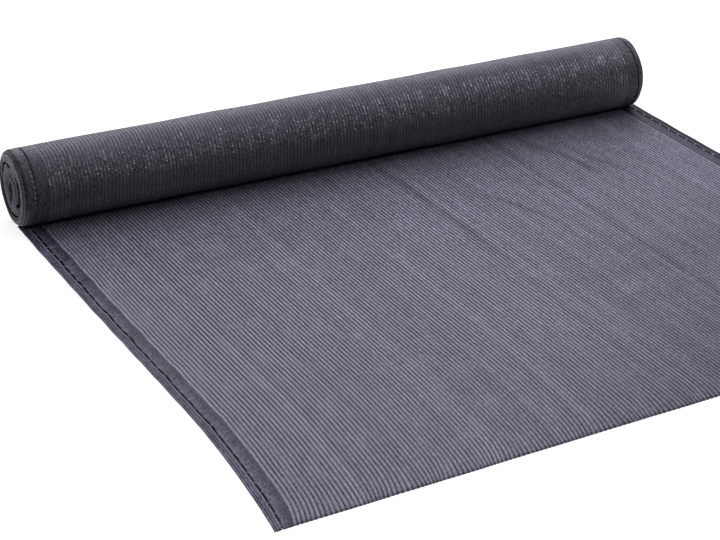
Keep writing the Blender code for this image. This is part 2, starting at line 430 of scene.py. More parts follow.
class Web:
    """Short ways to add nodes to a material and join them."""

    def __init__(self, name):
        self.material = bpy.data.materials.new(name)
        self.material.use_nodes = True
        self.nodes = self.material.node_tree.nodes
        self.links = self.material.node_tree.links
        self.shader = self.nodes["Principled BSDF"]
        uv = self.nodes.new("ShaderNodeUVMap")
        uv.uv_map = "net"
        split = self.nodes.new("ShaderNodeSeparateXYZ")
        self.links.new(uv.outputs["UV"], split.inputs["Vector"])
        self.across = split.outputs["X"]
        self.along = split.outputs["Y"]

    def put(self, socket, value):
        """Links a socket, or sets its value."""
        if isinstance(value, bpy.types.NodeSocket):
            self.links.new(value, socket)
        else:
            socket.default_value = value

    def surface(self, name, value):
        """Links or sets an input of the surface's own shader."""
        self.put(self.shader.inputs[name], value)

    def math(self, operation, *values):
        """One Math node."""
        node = self.nodes.new("ShaderNodeMath")
        node.operation = operation
        for socket, value in zip(node.inputs, values):
            self.put(socket, value)
        return node.outputs["Value"]

    def times(self, first, *others):
        """The product of all values."""
        for value in others:
            first = self.math("MULTIPLY", first, value)
        return first

    def plus(self, first, second):
        """first + second."""
        return self.math("ADD", first, second)

    def line(self, value, slope, start):
        """start + slope * value."""
        return self.math("MULTIPLY_ADD", value, slope, start)

    def rest(self, value):
        """1 - value."""
        return self.math("SUBTRACT", 1.0, value)

    def larger(self, first, second):
        """The larger of two values."""
        return self.math("MAXIMUM", first, second)

    def over(self, first, second):
        """1 where the first value is greater than the second one, else 0."""
        return self.math("GREATER_THAN", first, second)

    def away(self, value, place):
        """Distance of a value from a place."""
        return self.math("ABSOLUTE", self.math("SUBTRACT", value, place))

    def tooth(self, value):
        """Distance of a value from the nearest whole number."""
        return self.math("PINGPONG", value, 0.5)

    def vary(self, value, swing):
        """A factor round 1 from a value of 0 to 1: 1 + swing * (value - 0.5)."""
        return self.line(value, swing, 1 - swing / 2)

    def lift(self, value, share):
        """A value moved toward 1 by a share: value * (1 - share) + share."""
        return self.line(value, self.rest(share), share)

    def ramp(self, value, low, high, start=0.0, end=1.0):
        """A smooth Map Range from low..high to start..end."""
        node = self.nodes.new("ShaderNodeMapRange")
        node.interpolation_type = "SMOOTHSTEP"
        self.put(node.inputs["Value"], value)
        for name, number in (("From Min", low), ("From Max", high), ("To Min", start), ("To Max", end)):
            self.put(node.inputs[name], number)
        return node.outputs["Result"]

    def vector(self, x, y):
        """A vector from two values."""
        node = self.nodes.new("ShaderNodeCombineXYZ")
        self.put(node.inputs["X"], x)
        self.put(node.inputs["Y"], y)
        return node.outputs["Vector"]

    def noise(self, x_scale, y_scale, detail=2.0):
        """Soft noise over the cloth, 0 to 1 round 0.5, with its grain per pitch each way."""
        node = self.nodes.new("ShaderNodeTexNoise")
        node.noise_dimensions = "2D"
        node.inputs["Scale"].default_value = 1.0
        node.inputs["Detail"].default_value = detail
        place = self.vector(self.times(self.across, x_scale), self.times(self.along, y_scale))
        self.links.new(place, node.inputs["Vector"])
        return node.outputs["Fac"]

    def dice(self, x, y, output="Value"):
        """A random value, or with Color three of them, for each pair of whole numbers."""
        node = self.nodes.new("ShaderNodeTexWhiteNoise")
        node.noise_dimensions = "2D"
        self.links.new(self.vector(self.math("FLOOR", x), self.math("FLOOR", y)), node.inputs["Vector"])
        return node.outputs[output]

    def mix(self, share, first, second):
        """Mix of two colours."""
        node = self.nodes.new("ShaderNodeMix")
        node.data_type = "RGBA"
        self.put(node.inputs["Factor"], share)
        self.put(node.inputs[6], first)
        self.put(node.inputs[7], second)
        return node.outputs[2]

    def arrow(self, operation, first, second=None):
        """One Vector Math node."""
        node = self.nodes.new("ShaderNodeVectorMath")
        node.operation = operation
        self.put(node.inputs[0], first)
        if second is not None:
            self.put(node.inputs["Scale" if operation == "SCALE" else 1], second)
        return node.outputs["Vector"]

    def facets(self, x, y, amount):
        """The surface's normal, tilted at random in each cell of x and y."""
        tilt = self.arrow("SUBTRACT", self.dice(x, y, "Color"), (0.5, 0.5, 0.5))
        normal = self.nodes.new("ShaderNodeNewGeometry").outputs["Normal"]
        return self.arrow("NORMALIZE", self.arrow("ADD", normal, self.arrow("SCALE", tilt, amount)))

    def shade(self):
        """The piece's painted light and shade, from its attribute."""
        node = self.nodes.new("ShaderNodeAttribute")
        node.attribute_name = "shade"
        return node.outputs["Fac"]

    def bump(self, height, distance, strength=1.0):
        """A Bump node on the shader's normal."""
        node = self.nodes.new("ShaderNodeBump")
        node.inputs["Distance"].default_value = distance
        node.inputs["Strength"].default_value = strength
        self.links.new(height, node.inputs["Height"])
        self.links.new(node.outputs["Normal"], self.shader.inputs["Normal"])


def colour(value):
    """A colour property as a socket value."""
    return (*value, 1.0)


# Stitches of the knit: how far they slant along the cloth for each pitch across it, and the tones from
# the foot of a course to its top, in the wound cloth and in the relaxed laid one
STITCH_SLANT = 0.55
WOUND_COURSE = (0.60, 1.24)
LAID_COURSE = (0.88, 1.07)
# How far a groove's edges wander, in periods, and how far the tone swings from facet to facet and from
# rib to rib, in streaks along the ribs and in wide patches
GROOVE_SWAY = 0.20
GRAIN_SWING = 0.6
RIB_SWING = 0.14
STREAK_SWING = 0.34
PATCH_SWING = 0.16
LEAST_TONE = 0.1
# Places round the roll from its front, in pitches, between which its smooth facets and its painted
# highlight set in and run out
GLINT_START = (0.5, 3.5)
GLINT_END = (8.5, 11.5)
# Between them, painted highlight: how much lighter its grooves are painted and how much stronger the
# grain is, the length in pitches and the most extra tone of painted light streaks, and the length of
# the runs of glints
PAINTED_GLINT_LIFT = 0.32
PAINTED_GLINT_GRAIN = 0.8
PAINTED_GLINT_STREAK = (3.5, 0.55)
GLINT_RUN = 5.0
# Where a stitch glints, past these distances from the foot of its course and from its groove, and how
# far its coat is tilted
GLINT_COURSE = 0.27
GLINT_CREST = 0.34
GLINT_TILT = 0.40
# Numbers added to the ribs' own, so that two uses of the dice differ
STREAK_DICE = 300.0
GLINT_DICE = 900.0
BAND_SWING = 0.70                           # how far the tone swings in patches over a selvedge
# Narrow lines of painted shade along a selvedge, at its edge and between its cords: inset and half width
# in pitches, and the tone in the middle
SHADES = ((0.0, 0.25, 0.55), (0.72, 0.24, 0.35), (1.38, 0.20, 0.40))


def relaxed_band(web, band, course):
    """The laid knit's rib pattern, its grooves lifted toward the tone of the ribs.

    They are lifted toward the cut end, a painted light that makes the grooves' shade fainter there, and
    at the left, in patches of soft noise and on each stitch that bridges them. Beside the selvedges the
    ribs' own tone runs through.
    """
    flat = web.larger(web.ramp(web.along, 60.0, 150.0, 0.0, 0.18), web.ramp(web.across, 1.0, 14.0, 0.18, 0.0))
    flat = web.plus(flat, web.ramp(web.noise(0.30, 0.12, 3.0), 0.45, 0.75, 0.0, 0.20))
    flat = web.plus(flat, web.ramp(course, 0.10, 0.40, -0.08, 0.14))
    joint = web.larger(web.ramp(web.across, 0.15, 0.35, 0.8, 0.0),
                       web.ramp(web.across, RIB_COUNT - 0.35, RIB_COUNT - 0.15, 0.0, 0.8))
    return web.larger(web.lift(band, flat), joint)


def selvedge_tones(web, slit, fade, hatch):
    """Tone factors over a selvedge: of its lines of painted shade alone, and of the lines with all the rest.

    Painted shade makes the tone low along the slits' row, less so toward the cut end, and in the narrow
    lines at the edge and between the cords. The rest is soft noise and a ramp from fade's first tone,
    beside the ribs, to its second one in the outer strip. Hatch multiplies the outer strip by slanting
    strokes.
    """
    half_cloth = RIB_COUNT / 2
    beyond = web.math("SUBTRACT", web.away(web.across, half_cloth), half_cloth)
    near, far, deepest = slit
    deep = web.ramp(web.along, 30.0, 110.0, deepest, deepest + 0.22)
    painted_shade_lines = web.ramp(web.away(beyond, STRIP - SLIT_INSET), near, far, deep, 1.0)
    front = web.ramp(web.along, 5.0, 110.0, 0.8, 1.0)
    for inset, half, least in SHADES:
        shade = web.times(web.ramp(web.away(beyond, STRIP - inset), 0.0, half, 1.0 - least, 0.0), front)
        painted_shade_lines = web.times(painted_shade_lines, web.rest(shade))
    outer = web.ramp(web.along, 90.0, 150.0, fade[1], 1.25 * fade[1])
    across = web.ramp(beyond, 0.0, 4.2, fade[0], outer)
    tone = web.times(painted_shade_lines, web.vary(web.noise(0.25, 0.16, 1.0), BAND_SWING), across)
    if hatch:
        stroke = web.tooth(web.math("DIVIDE", web.line(web.across, 1.1, web.along), 1.05))
        stroke = web.ramp(stroke, 0.26, 0.42, 0.45, 1.25)
        outside = web.ramp(beyond, STRIP - SLIT_INSET + 0.2, STRIP - SLIT_INSET + 0.4)
        tone = web.times(tone, web.plus(web.rest(outside), web.times(outside, stroke)))
    return painted_shade_lines, tone


def glint_coat(web, zone, rib, slant, course):
    """A clear coat over single smooth stitches, tilted a little at random.

    A stitch has it where its dice fall below its luck, which is random for each run along a rib, more
    or less in patches of soft noise, and 0 outside the zone.
    """
    run = web.dice(rib, web.math("DIVIDE", web.along, GLINT_RUN))
    patch = web.ramp(web.noise(0.22, 0.15, 2.0), 0.38, 0.62, 0.55, 0.95)
    luck = web.times(web.ramp(run, 0.20, 0.95, 0.55, 1.0), patch, zone)
    step = web.times(slant, 1.3)
    spot = web.over(luck, web.dice(web.plus(rib, GLINT_DICE), step))
    spot = web.times(spot, web.over(course, GLINT_COURSE), web.over(web.tooth(rib), GLINT_CREST))
    web.surface("Coat Weight", spot)
    web.surface("Coat Roughness", 0.10)
    web.surface("Coat IOR", 1.9)
    web.surface("Coat Normal", web.facets(rib, step, GLINT_TILT))


def knit_material(name, light, dark, period=1.0, groove=(0.13, 0.25), stitch=0.5, speckle=0.4,
                  cells=(3.0, 1.0), shine=0.3, glints=False, slit=None, fade=(1.0, 1.0), hatch=False,
                  shaded=False, relaxed=False):
    """Knitted tape: ribs of the given period with a darker groove, crossed by fine slanting stitches.

    The colour is a mix from dark in the groove to light on the rib, times a tone. The tone is a
    product: speckle times the random grain of small facets, of which cells gives the number for each
    pitch and course, the course's own ramp, and slow changes from rib to rib, in streaks and in
    patches. Glints adds smooth stitches over a zone of the roll, and there a painted highlight of light
    streaks, lighter grooves and stronger grain. A selvedge has slit, the near and far distance from its
    slits' row and the painted shade in it, and the tones of fade. Shaded follows the painted light and
    shade kept in the piece's attribute, and relaxed lifts the grooves of the laid knit, partly a painted
    light that makes them lighter toward the cut end.
    """
    web = Web(name)
    sway = web.line(web.noise(0.9, 1.1), GROOVE_SWAY * period, -GROOVE_SWAY / 2 * period)
    rib = web.math("DIVIDE", web.plus(web.across, sway), period)
    band = web.ramp(web.tooth(rib), *groove)
    slant = web.math("DIVIDE", web.line(web.across, STITCH_SLANT, web.along), stitch)
    course = web.tooth(slant)
    cell = web.dice(web.times(web.across, cells[0]), web.times(slant, cells[1]))
    grain = web.line(web.plus(cell, web.noise(1.9, 1.7)), GRAIN_SWING, -GRAIN_SWING)
    if relaxed:
        band = relaxed_band(web, band, course)
        grain = web.times(grain, web.ramp(web.along, 15.0, 70.0, 1.3, 0.97))
    # Painted highlight in the zone where the roll's glints fall: lighter grooves and stronger grain
    if glints:
        zone = web.times(web.ramp(web.along, *GLINT_START), web.ramp(web.along, *GLINT_END, 1.0, 0.0))
        band = web.lift(band, web.times(zone, PAINTED_GLINT_LIFT))
        grain = web.times(grain, web.line(zone, PAINTED_GLINT_GRAIN, 1.0))
    tone = web.larger(web.line(grain, 2.0 * speckle, 1.0), LEAST_TONE)
    tone = web.times(tone, web.ramp(course, 0.02, 0.42, *(LAID_COURSE if relaxed else WOUND_COURSE)))
    tone = web.times(tone, web.vary(web.dice(rib, 0.0), RIB_SWING))
    tone = web.times(tone, web.vary(web.noise(0.35, 0.004, 3.0), STREAK_SWING))
    tone = web.times(tone, web.vary(web.noise(0.05, 0.06), PATCH_SWING))
    # Painted highlight in that zone: light streaks along single ribs, besides the coat's smooth stitches
    if glints:
        length, most = PAINTED_GLINT_STREAK
        streak = web.dice(web.plus(rib, STREAK_DICE), web.math("DIVIDE", web.along, length))
        tone = web.times(tone, web.line(zone, web.ramp(streak, 0.80, 1.0, 0.0, most), 1.0))
        glint_coat(web, zone, rib, slant, course)
    gloss = web.line(band, shine, 0.03)
    # A selvedge's painted shade darkens its colour and its gloss
    if slit:
        painted_shade_lines, own = selvedge_tones(web, slit, fade, hatch)
        tone = web.times(tone, own)
        gloss = web.times(gloss, painted_shade_lines)
    # The painted light and shade kept in the piece's attribute scales its colour and gloss
    if shaded:
        tone = web.times(tone, web.shade())
        gloss = web.times(gloss, web.shade())
    web.surface("Base Color", web.arrow("SCALE", web.mix(band, colour(dark), colour(light)), tone))
    web.surface("Specular IOR Level", gloss)
    web.surface("Specular Tint", (0.80, 0.80, 1.0, 1.0))
    web.surface("Roughness", 0.5)
    relief = web.line(course, 0.25 if relaxed else 0.9, web.line(cell, 0.35, band))
    web.bump(relief, 0.00030, 0.7)
    return web.material


def thread_material(name, light):
    """Bright chain thread: small twisted strands along its length, under soft noise."""
    web = Web(name)
    turn = web.tooth(web.line(web.along, 2.4, web.across))
    tone = web.times(web.line(turn, 0.9, 0.62), web.vary(web.noise(3.0, 3.0), 0.5))
    web.surface("Base Color", web.arrow("SCALE", light, tone))
    web.surface("Roughness", 0.42)
    web.bump(turn, 0.0002)
    return web.material


# Tints of the wound cloth, a little less blue than the laid one: its ribs, selvedges and end faces
RIB_TINT = (1.0, 1.0, 0.93)
BAND_TINT = (1.0, 0.98, 0.80)
TURNS_TINT = (1.0, 1.0, 0.89)
FINE_GROOVE = (0.03, 0.34)                  # groove between the fine ribs of a selvedge


def net_materials():
    """The finishes of the net, made once."""
    if "laid_ribs" not in bpy.data.materials:
        colours = bpy.context.scene.net_colours
        rib = np.array(colours.rib)
        groove = np.array(colours.groove)
        band = np.array(colours.band)
        wound_rib = rib * RIB_TINT
        wound_band = band * BAND_TINT
        turns = band * TURNS_TINT
        knit_material("laid_ribs", 1.23 * rib, 0.85 * groove, stitch=0.9, speckle=0.55, cells=(3.0, 2.0),
                      shine=0.25, shaded=True, relaxed=True)
        # Rolled ribs: a darker copy of the laid ribs' colour, partly the knit's other face, partly painted
        # shade
        knit_material("rolled_ribs", 0.60 * wound_rib, 0.33 * wound_rib, groove=(0.04, 0.22), stitch=0.58,
                      speckle=0.45, shine=0.30, glints=True, shaded=True)
        knit_material("selvedge_knit", 0.80 * band, 0.50 * band, FINE_PITCH, FINE_GROOVE, 0.55,
                      speckle=0.9, cells=(1 / FINE_PITCH, 1.1), slit=(0.32, 0.46, 0.06), fade=(0.76, 2.25),
                      shaded=True)
        knit_material("right_selvedge_knit", 0.80 * band, 0.62 * band, FINE_PITCH, FINE_GROOVE, 0.42,
                      speckle=0.6, cells=(1 / FINE_PITCH, 1.0), slit=(0.22, 0.36, 0.08), fade=(1.0, 0.9),
                      hatch=True)
        knit_material("rolled_selvedge", wound_band, 0.66 * wound_band, FINE_PITCH, FINE_GROOVE, 0.42,
                      speckle=0.8, cells=(1 / FINE_PITCH, 1.0), shine=0.45, shaded=True)
        knit_material("wound_turns", 0.64 * turns, 0.34 * turns, 0.80, (0.04, 0.30), 0.50,
                      speckle=1.5, cells=(2.5, 1.1), shaded=True)
        thread_material("chain_thread", tuple(colours.thread))
    return bpy.data.materials


GROUND = 0.0001                             # how far the ground of the knit lies over its thickness
GROOVE_HALF = 0.17                          # half width of the groove between two ribs, in pitches
EDGE_SHARE = 0.45                           # height of the ribs' edges beside the selvedges
EDGE_HALF = 0.3                             # half width of those edges, in pitches
ROW_CROWDING = 1.25                         # power that crowds the rows of points toward the cut end


def rib_profile(phase):
    """Height share of a rib: 1 less a bell, low in a narrow groove at whole numbers, broad on top."""
    return 1 - bell(phase - np.round(phase), 0.0, GROOVE_HALF)


def field_columns():
    """Rib numbers of the columns of points across the ribs, four to a rib."""
    return np.append((np.arange(RIB_COUNT)[:, None] + np.array([0.0, 0.2, 0.5, 0.8])).ravel(), RIB_COUNT)


class NET_OT_laid_ribs(bpy.types.Operator):
    """Lays the ribbed field of the loose end on the floor"""
    bl_idname = "net.laid_ribs"
    bl_label = "Laid ribs"

    def execute(self, context):
        sizes = context.scene.net_sizes
        rib = field_columns()
        across = rib * PITCH + SELVEDGE - NET_WIDTH / 2
        share = 1 - np.linspace(1, 0, sizes.rows + 1)[:, None] ** ROW_CROWDING
        along = LAID_START + share * (laid_length(across) - LAID_START)
        edge = EDGE_SHARE * bell(np.minimum(rib, RIB_COUNT - rib), 0.0, EDGE_HALF)
        height = sizes.thickness + GROUND + sizes.rib_height * np.maximum(rib_profile(rib), edge)
        points = laid_points(across[None, :], along, height[None, :], sizes)
        uv = np.stack(np.broadcast_arrays(rib[None, :], along / PITCH), -1)
        faces = grid_faces(sizes.rows + 1, len(rib))[:, ::-1]
        piece = mesh_piece("laid_ribs", points.reshape(-1, 3), faces, uv.reshape(-1, 2),
                           [net_materials()["laid_ribs"]], shade=rib_shade(across[None, :], along))
        thicken(piece, sizes.thickness)
        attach(piece, BODY)
        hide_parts("laid_sheet")
        return {"FINISHED"}


# Columns of points across a selvedge, as insets in pitches; LIP is where the knit turns down, and FOOT
# half the gap between the two walls' feet where a slit is closed
LIP = 0.27
FOOT = 0.04
OUTER_INSETS = (0.0, 0.06, 0.2, 0.38, 0.54, 0.64, 0.72, 0.80, 0.92, 1.1, 1.26, 1.34, 1.42, 1.54, 1.7, 1.9)
BAND_COLUMNS = 13


def selvedge_insets():
    """Insets of the points across a selvedge, and the number of the outer wall's foot."""
    outer = np.append(OUTER_INSETS, SLIT_INSET - LIP)
    inner = np.linspace(SLIT_INSET + LIP, STRIP, BAND_COLUMNS)
    feet = [SLIT_INSET - FOOT, SLIT_INSET + FOOT]
    return np.concatenate([outer, feet, inner]), len(outer)


# Grooves between the cords of a selvedge: inset and half width in pitches, and depth in rib heights
CORD_GROOVES = ((0.72, 0.10, 0.8), (1.38, 0.09, 0.7))
# Heights of its cords, its band, the fine ribs on that and the lip beside the slits, in rib heights
CORD_HEIGHT = 1.05
BAND_HEIGHT = 0.70
FINE_HEIGHT = 0.07
LIP_HEIGHT = 0.5
BAND_END = 0.35                             # how much lower a selvedge is beside the ribs


def selvedge_height(inset, sizes):
    """Height of a selvedge's upper face: its thickness, its ground and a lift in rib heights.

    Outside the slits the lift is a smooth step at the edge less a bell for each groove. Inside them it
    is a low cosine over the fine ribs and a bell on the lip, and it falls beside the ribs.
    """
    grooves = sum(depth * bell(inset, place, half) for place, half, depth in CORD_GROOVES)
    outer = CORD_HEIGHT * smooth_step(inset, -0.2, 0.3) - grooves
    fine = 0.5 + 0.5 * np.cos(2 * math.pi * (inset - SLIT_INSET) / FINE_PITCH)
    inner = BAND_HEIGHT + FINE_HEIGHT * fine + LIP_HEIGHT * bell(inset, SLIT_INSET + LIP, 0.22)
    lift = np.where(inset < SLIT_INSET, outer, inner)
    last = smooth_step(inset, STRIP - 0.25, STRIP)
    return sizes.thickness + GROUND + sizes.rib_height * lift * (1 - BAND_END * last)


SLIT_FOOT = 0.0010                          # height of the foot of an open slit's wall
FOOT_DROP = 0.0004                          # how far a closed slit's foot lies below its lips
LIP_CLOSING = 0.10                          # how far the lips close in between two slits, in pitches
FOOT_OPENING = 0.18                         # share of the slit's width that its feet open on each side
PAST_SLIT = 0.93                            # share of a slit pitch at a row between two slits
END_MARGIN = 0.002                          # least distance of a row from the cut end
ROW_SHARES_IN_SLIT = np.array([0.0, 0.09, 0.30, 0.55, 0.76, SLIT_SHARE, PAST_SLIT])


def slit_opening(share):
    """How far open a slit is at its share of a slit pitch: a blunt arc over its length, 0 to 1."""
    inside = np.clip(share / SLIT_SHARE, 0.0, 1.0)
    return np.sin(math.pi * inside) ** 0.45


def selvedge_rows(first_slit, end):
    """Places along a selvedge of its rows of points, and the share of a slit pitch at each of them."""
    slits = int(math.ceil(LAID_LEFT / PITCH / SLIT_PITCH)) + 1
    share = np.tile(ROW_SHARES_IN_SLIT, slits)
    number = np.repeat(np.arange(slits), len(ROW_SHARES_IN_SLIT))
    row = (number + share) * SLIT_PITCH * PITCH + first_slit
    used = (row > LAID_START) & (row < end - END_MARGIN)
    row = np.concatenate([[LAID_START], row[used], [end]])
    return row, np.concatenate([[PAST_SLIT], share[used], [PAST_SLIT]])


def selvedge_piece(name, side, sizes, first_slit, finish):
    """One laid selvedge; side is -1 at the left edge and 1 at the right one.

    It is a grid of rows along it and insets across it. Two columns, the feet, stand in the slits' row:
    an open slit parts them and brings them down, and has no faces between them.
    """
    inset, lip = selvedge_insets()
    end = laid_length(side * (NET_WIDTH / 2 - SELVEDGE / 2))
    row, share = selvedge_rows(first_slit, end)
    across = side * (NET_WIDTH / 2 - inset * PITCH)
    gap = slit_opening(share) * (share < SLIT_SHARE)
    stretch = (row - LAID_START) / (end - LAID_START)
    along = LAID_START + stretch[:, None] * (laid_length(across)[None, :] - LAID_START)
    feet = slice(lip, lip + 2)
    lips = np.array([lip - 1, lip + 2])
    both = np.array([1.0, -1.0])
    centre = side * (NET_WIDTH / 2 - SLIT_INSET * PITCH)
    half = (FOOT * PITCH + gap * FOOT_OPENING * sizes.slit_width)[:, None] * both
    place = np.broadcast_to(across[None, :], along.shape).copy()
    height = np.broadcast_to(selvedge_height(inset, sizes)[None, :], along.shape).copy()
    place[:, feet] = centre + side * half
    place[:, lips] -= side * (1 - gap)[:, None] * both * LIP_CLOSING * PITCH
    height[:, feet] = height[:, lips] - FOOT_DROP
    points = laid_points(place, along, height, sizes)
    foot = points[:, feet, 2]
    points[:, feet, 2] = foot + gap[:, None] * (SLIT_FOOT - foot)
    keep = np.ones((len(row) - 1, len(inset) - 1), dtype=bool)
    keep[:, lip] = (share[:-1] >= SLIT_SHARE) | (gap[:-1] + gap[1:] < 0.01)
    faces = grid_faces(len(row), len(inset), keep=keep)
    if side < 0:
        faces = faces[:, ::-1]
    cloth_x = inset - STRIP if side < 0 else RIB_COUNT + STRIP - inset
    uv = np.stack(np.broadcast_arrays(cloth_x[None, :], along / PITCH), -1)
    shade = pucker_shade(inset[None, :], along) if side < 0 else None
    piece = mesh_piece(name, points.reshape(-1, 3), faces, uv.reshape(-1, 2),
                       [net_materials()[finish]], shade=shade)
    thicken(piece, sizes.thickness)
    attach(piece, BODY)
    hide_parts("laid_sheet")
    return piece


FIRST_SLIT_LEFT = 0.010                     # from the roll's axis to the first slit that shows
FIRST_SLIT_RIGHT = 0.0615


class NET_OT_selvedges(bpy.types.Operator):
    """Lays the two selvedges with their rows of buttonhole slits"""
    bl_idname = "net.selvedges"
    bl_label = "Selvedges"

    def execute(self, context):
        sizes = context.scene.net_sizes
        selvedge_piece("selvedge_left", -1, sizes, FIRST_SLIT_LEFT - SLIT_PITCH * PITCH, "selvedge_knit")
        selvedge_piece("selvedge_right", 1, sizes, FIRST_SLIT_RIGHT - 3 * SLIT_PITCH * PITCH,
                       "right_selvedge_knit")
        return {"FINISHED"}


TUBE_SIDES = 6


def tube(path, radius, beside=(0.0, 0.0, 1.0)):
    """Points and faces of a round tube along a path that stays across the direction beside."""
    ahead = np.gradient(path, axis=0)
    ahead /= np.linalg.norm(ahead, axis=1)[:, None]
    aside = np.cross(ahead, np.array(beside))
    aside /= np.linalg.norm(aside, axis=1)[:, None]
    over = np.cross(aside, ahead)
    turn = np.linspace(0, 2 * math.pi, TUBE_SIDES, endpoint=False)
    radius = np.broadcast_to(radius, len(path))[:, None, None]
    ring = aside[:, None, :] * np.cos(turn)[None, :, None] + over[:, None, :] * np.sin(turn)[None, :, None]
    points = path[:, None, :] + radius * ring
    row = np.arange(len(path) - 1)[:, None] * TUBE_SIDES
    column = np.arange(TUBE_SIDES)[None, :]
    here = row + column
    next_side = row + (column + 1) % TUBE_SIDES
    faces = np.stack([here, next_side, next_side + TUBE_SIDES, here + TUBE_SIDES], -1)
    return points.reshape(-1, 3), faces.reshape(-1, 4)


def tube_uv(along):
    """Pattern coordinates of a tube's points: the share round it, and the given places along it."""
    around = np.tile(np.arange(TUBE_SIDES) / TUBE_SIDES, len(along))
    return np.stack([around, np.repeat(along, TUBE_SIDES)], -1)


def joined(shapes):
    """Several (points, faces, uv) as one."""
    points = []
    faces = []
    uvs = []
    start = 0
    for shape_points, shape_faces, uv in shapes:
        points.append(shape_points)
        faces.append(shape_faces + start)
        uvs.append(uv)
        start += len(shape_points)
    return np.concatenate(points), np.concatenate(faces), np.concatenate(uvs)


def thread_shape(across, along, height, radius, sizes):
    """A thread laid on the cloth along the given places."""
    points, faces = tube(laid_points(across, along, height, sizes), radius)
    return points, faces, tube_uv(along / PITCH)


# Stitches over the knit between two slits, of the left and the right side: inset from the slits' row
# and slant in pitches, and half length. They are thin at their ends and rise in their middle.
BRIDGES = {
    -1: ((0.02, 0.10, 0.0009), (LIP - 0.04, 0.08, 0.0011)),
    1: ((0.0, 0.42, 0.0036),),
}
BRIDGE_RADIUS = {-1: 0.00042, 1: 0.00060}
BRIDGE_RISE = 0.0002
THREAD_END = 0.00012
BRIDGE_POINTS = 7


def bridge_shapes(side, middle, sizes):
    """The stitches over the knit between two slits: loops along it at the left, one slanting at the right."""
    shapes = []
    share = np.linspace(-1, 1, BRIDGE_POINTS)
    rise = np.sin(np.linspace(0, math.pi, BRIDGE_POINTS))
    for offset, slope, length in BRIDGES[side]:
        along = middle + length * share
        across = side * (NET_WIDTH / 2 - (SLIT_INSET + offset + slope * share) * PITCH)
        top = sizes.thickness + sizes.rib_height + BRIDGE_RISE * rise
        shapes.append(thread_shape(across, along, top, THREAD_END + BRIDGE_RADIUS[side] * rise, sizes))
    return shapes


# Stitches of the chain thread round the roll: length of a step in pitches, first and last angle from
# the roll's front and half the angle of a bead in degrees, its points, how far it is set aside, its
# radius and how far that swings
BEAD_STEP = 1.4
BEAD_ARC = (-12.0, 285.0)
BEAD_HALF = 2.2
BEAD_POINTS = 5
BEAD_SWAY = 0.0002
BEAD_RADIUS = 0.00026
BEAD_SWING = 0.00016


def bead_shapes(x):
    """The chain thread's stitches round the roll beside its left seam: a ring of short beads at x."""
    shapes = []
    radius = ROLL_RADIUS + 0.0001
    rise = np.sin(np.linspace(0, math.pi, BEAD_POINTS))
    for angle in np.arange(*BEAD_ARC, math.degrees(BEAD_STEP / RADIUS)):
        turn = np.radians(angle + np.linspace(-BEAD_HALF, BEAD_HALF, BEAD_POINTS))
        place = np.full(BEAD_POINTS, x + BEAD_SWAY * math.sin(angle * 1.7))
        path = np.stack([place, ROLL_AXIS_Y - radius * np.cos(turn), ROLL_AXIS_Z + radius * np.sin(turn)], -1)
        thick = THREAD_END + (BEAD_RADIUS + BEAD_SWING * math.sin(angle * 2.3)) * rise
        points, faces = tube(path, thick, beside=(1.0, 0.0, 0.0))
        shapes.append((points, faces, tube_uv(turn * RADIUS)))
    return shapes


# Chain threads: side of the cloth, its first slit, and the thread's radius
CHAINS = ((-1, FIRST_SLIT_LEFT, 0.00065), (1, FIRST_SLIT_RIGHT, 0.00028))
SLITS_BEFORE = 3                            # slits tried before the first one, so that none is missed
CHAIN_STEP = 0.002                          # length between two points of a thread
CHAIN_LIFT = 0.0002                         # height of a thread's middle over the knit
BRIDGE_MARGIN = 0.006                       # least distance of a stitch from either end
BEAD_INSET = 0.45                           # from the roll's seam out to its beads, in pitches


class NET_OT_chain_threads(bpy.types.Operator):
    """Runs the bright chain thread beside the slits and the short bars between them"""
    bl_idname = "net.chain_threads"
    bl_label = "Chain threads"

    def execute(self, context):
        sizes = context.scene.net_sizes
        shapes = []
        for side, first, radius in CHAINS:
            end = laid_length(side * NET_WIDTH / 2) - CHAIN_STEP / 2
            along = np.arange(LAID_START + CHAIN_STEP, end, CHAIN_STEP)
            inset = SLIT_INSET - LIP - 0.10 + 0.03 * np.sin(along / 0.0021)
            across = side * (NET_WIDTH / 2 - inset * PITCH)
            top = selvedge_height(inset, sizes) + CHAIN_LIFT
            shapes.append(thread_shape(across, along, top, radius, sizes))
            first = first - SLITS_BEFORE * SLIT_PITCH * PITCH
            for number in range(int((end - first) / PITCH / SLIT_PITCH) + 1):
                middle = first + (number + (1 + SLIT_SHARE) / 2) * SLIT_PITCH * PITCH
                if LAID_START + BRIDGE_MARGIN < middle < end - BRIDGE_MARGIN:
                    shapes.extend(bridge_shapes(side, middle, sizes))
        shapes.extend(bead_shapes(ROLL_LOW[0] + (STRIP_LEFT - BEAD_INSET) * PITCH))
        points, faces, uv = joined(shapes)
        piece = mesh_piece("chain_threads", points, faces, uv, [net_materials()["chain_thread"]])
        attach(piece, BODY)
        return {"FINISHED"}


